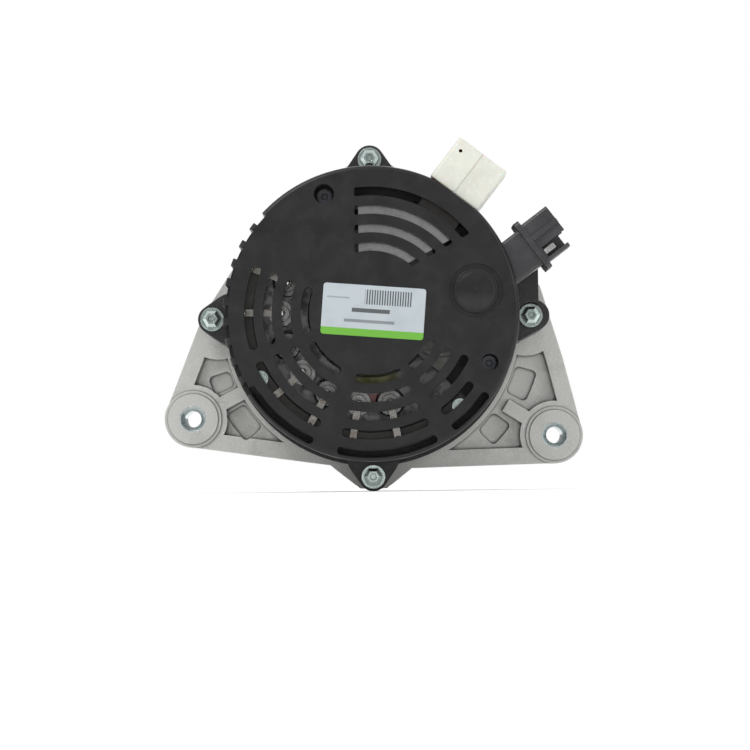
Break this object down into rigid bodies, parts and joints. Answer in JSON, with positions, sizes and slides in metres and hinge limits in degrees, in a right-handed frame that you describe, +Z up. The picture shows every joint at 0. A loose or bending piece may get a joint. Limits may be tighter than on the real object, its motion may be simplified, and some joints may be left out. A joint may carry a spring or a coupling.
{
  "type": "car alternator",
  "caption": "Belt-driven claw-pole car alternator with slotted rear cover, twin mounting ears, ribbed pulley, plug socket and capped battery terminal.",
  "frame": {"origin": "on the shaft axis, in the centre plane of the pulley's belt grooves", "axes": "+Y along the shaft towards the pulley, +Z up as fitted, with the mounting ears below the shaft"},
  "size_m": [0.2151, 0.1562, 0.1734],
  "materials": {
    "cover_plastic": "satin moulded black plastic",
    "label_film": "semi-gloss label stock",
    "zinc_steel": "pale zinc plate",
    "black_zinc": "black zinc plate",
    "black_casting": "black coated casting",
    "cast_aluminium": "as-cast, shot-blasted",
    "bush_steel": "turned and plated",
    "lamination_steel": "varnished laminations",
    "enamelled_copper": "enamelled and varnished wire",
    "slot_paper": "insulating paper",
    "bearing_steel": "ground and polished",
    "seal_rubber": "matte",
    "shaft_steel": "ground",
    "pole_iron": "forged and turned",
    "bobbin_plastic": "natural nylon",
    "fan_steel": "pressed sheet",
    "pulley_steel": "black phosphate",
    "slip_copper": "polished by the brushes",
    "insulator_plastic": "moulded",
    "carbon": "pressed carbon",
    "spring_steel": "drawn wire",
    "regulator_plastic": "potted module",
    "heatsink_aluminium": "pressed plate",
    "frame_plastic": "glass-filled, olive",
    "diode_metal": "nickel plate",
    "tinned_copper": "tinned strip with solder",
    "connector_plastic": "moulded black plastic",
    "cap_plastic": "translucent natural plastic"
  },
  "bodies": {
    "housing": {"rear_cover": "cover_plastic", "cover_plug": "cover_plastic", "cover_screws": "black_zinc", "rating_label": "label_film", "slip_ring_end_bracket": "black_casting", "through_bolts": "zinc_steel", "stator_core": "lamination_steel", "slot_liners": "slot_paper", "stator_winding": "enamelled_copper", "drive_end_bracket": "cast_aluminium", "ear_bush_left": "bush_steel", "ear_bush_right": "bush_steel", "bearing_retainer": "zinc_steel", "retainer_screws": "zinc_steel", "front_bearing_outer_ring": "bearing_steel", "front_bearing_seals": "seal_rubber", "rear_bearing_outer_ring": "bearing_steel", "rear_bearing_seals": "seal_rubber", "rear_bearing_sleeve": "insulator_plastic", "brush_holder": "insulator_plastic", "brush_spring_outer": "spring_steel", "brush_spring_inner": "spring_steel", "regulator_body": "regulator_plastic", "regulator_heatsink": "heatsink_aluminium", "regulator_screws": "zinc_steel", "regulator_posts": "insulator_plastic", "rectifier_negative_plate": "heatsink_aluminium", "rectifier_positive_plate": "heatsink_aluminium", "positive_diodes": "diode_metal", "negative_diodes": "diode_metal", "rectifier_terminal_frame": "frame_plastic", "rectifier_bus_bars": "tinned_copper", "rectifier_screws": "zinc_steel", "terminal_stud": "zinc_steel", "terminal_insulator": "insulator_plastic", "terminal_nut": "zinc_steel", "connector_housing": "connector_plastic", "connector_pins": "tinned_copper"},
    "rotor": {"rotor_shaft": "shaft_steel", "claw_pole_front": "pole_iron", "claw_pole_rear": "pole_iron", "field_bobbin": "bobbin_plastic", "field_coil": "enamelled_copper", "front_fan": "fan_steel", "rear_fan": "fan_steel", "slip_rings": "slip_copper", "slip_ring_insulator": "insulator_plastic", "front_bearing_inner_ring": "bearing_steel", "rear_bearing_inner_ring": "bearing_steel", "rotor_spacer": "shaft_steel", "pulley": "pulley_steel", "pulley_nut": "zinc_steel", "pulley_spacer": "shaft_steel"},
    "front_cage": {"front_bearing_cage": "zinc_steel", "front_bearing_balls": "bearing_steel"},
    "rear_cage": {"rear_bearing_cage": "zinc_steel", "rear_bearing_balls": "bearing_steel"},
    "brush_outer_body": {"brush_outer": "carbon"},
    "brush_inner_body": {"brush_inner": "carbon"},
    "terminal_cap_body": {"terminal_cap": "cap_plastic"}
  },
  "joints": [
    {"name": "rotor_spin", "type": "hinge", "parent": "housing", "child": "rotor", "pos_m": [0, 0, 0], "axis": [0, 1, 0], "continuous": true},
    {"name": "front_cage_spin", "type": "hinge", "parent": "housing", "child": "front_cage", "pos_m": [0, 0, 0], "axis": [0, 1, 0], "continuous": true},
    {"name": "rear_cage_spin", "type": "hinge", "parent": "housing", "child": "rear_cage", "pos_m": [0, 0, 0], "axis": [0, 1, 0], "continuous": true},
    {"name": "brush_outer_slide", "type": "slide", "parent": "housing", "child": "brush_outer_body", "axis": [0, 0, 1], "range_m": [0, 0.005], "stiffness_N_per_m": 200, "springref_m": -0.012, "deforming": ["brush_spring_outer"]},
    {"name": "brush_inner_slide", "type": "slide", "parent": "housing", "child": "brush_inner_body", "axis": [0, 0, 1], "range_m": [0, 0.005], "stiffness_N_per_m": 200, "springref_m": -0.012, "deforming": ["brush_spring_inner"]},
    {"name": "terminal_cap_pull", "type": "slide", "parent": "housing", "child": "terminal_cap_body", "axis": [0.6157, 0, 0.788], "range_m": [0, 0.03]}
  ],
  "couplings": [
    {"joint": "front_cage_spin", "follows": "rotor_spin", "ratio": 0.3512},
    {"joint": "rear_cage_spin", "follows": "rotor_spin", "ratio": 0.3809}
  ]
}
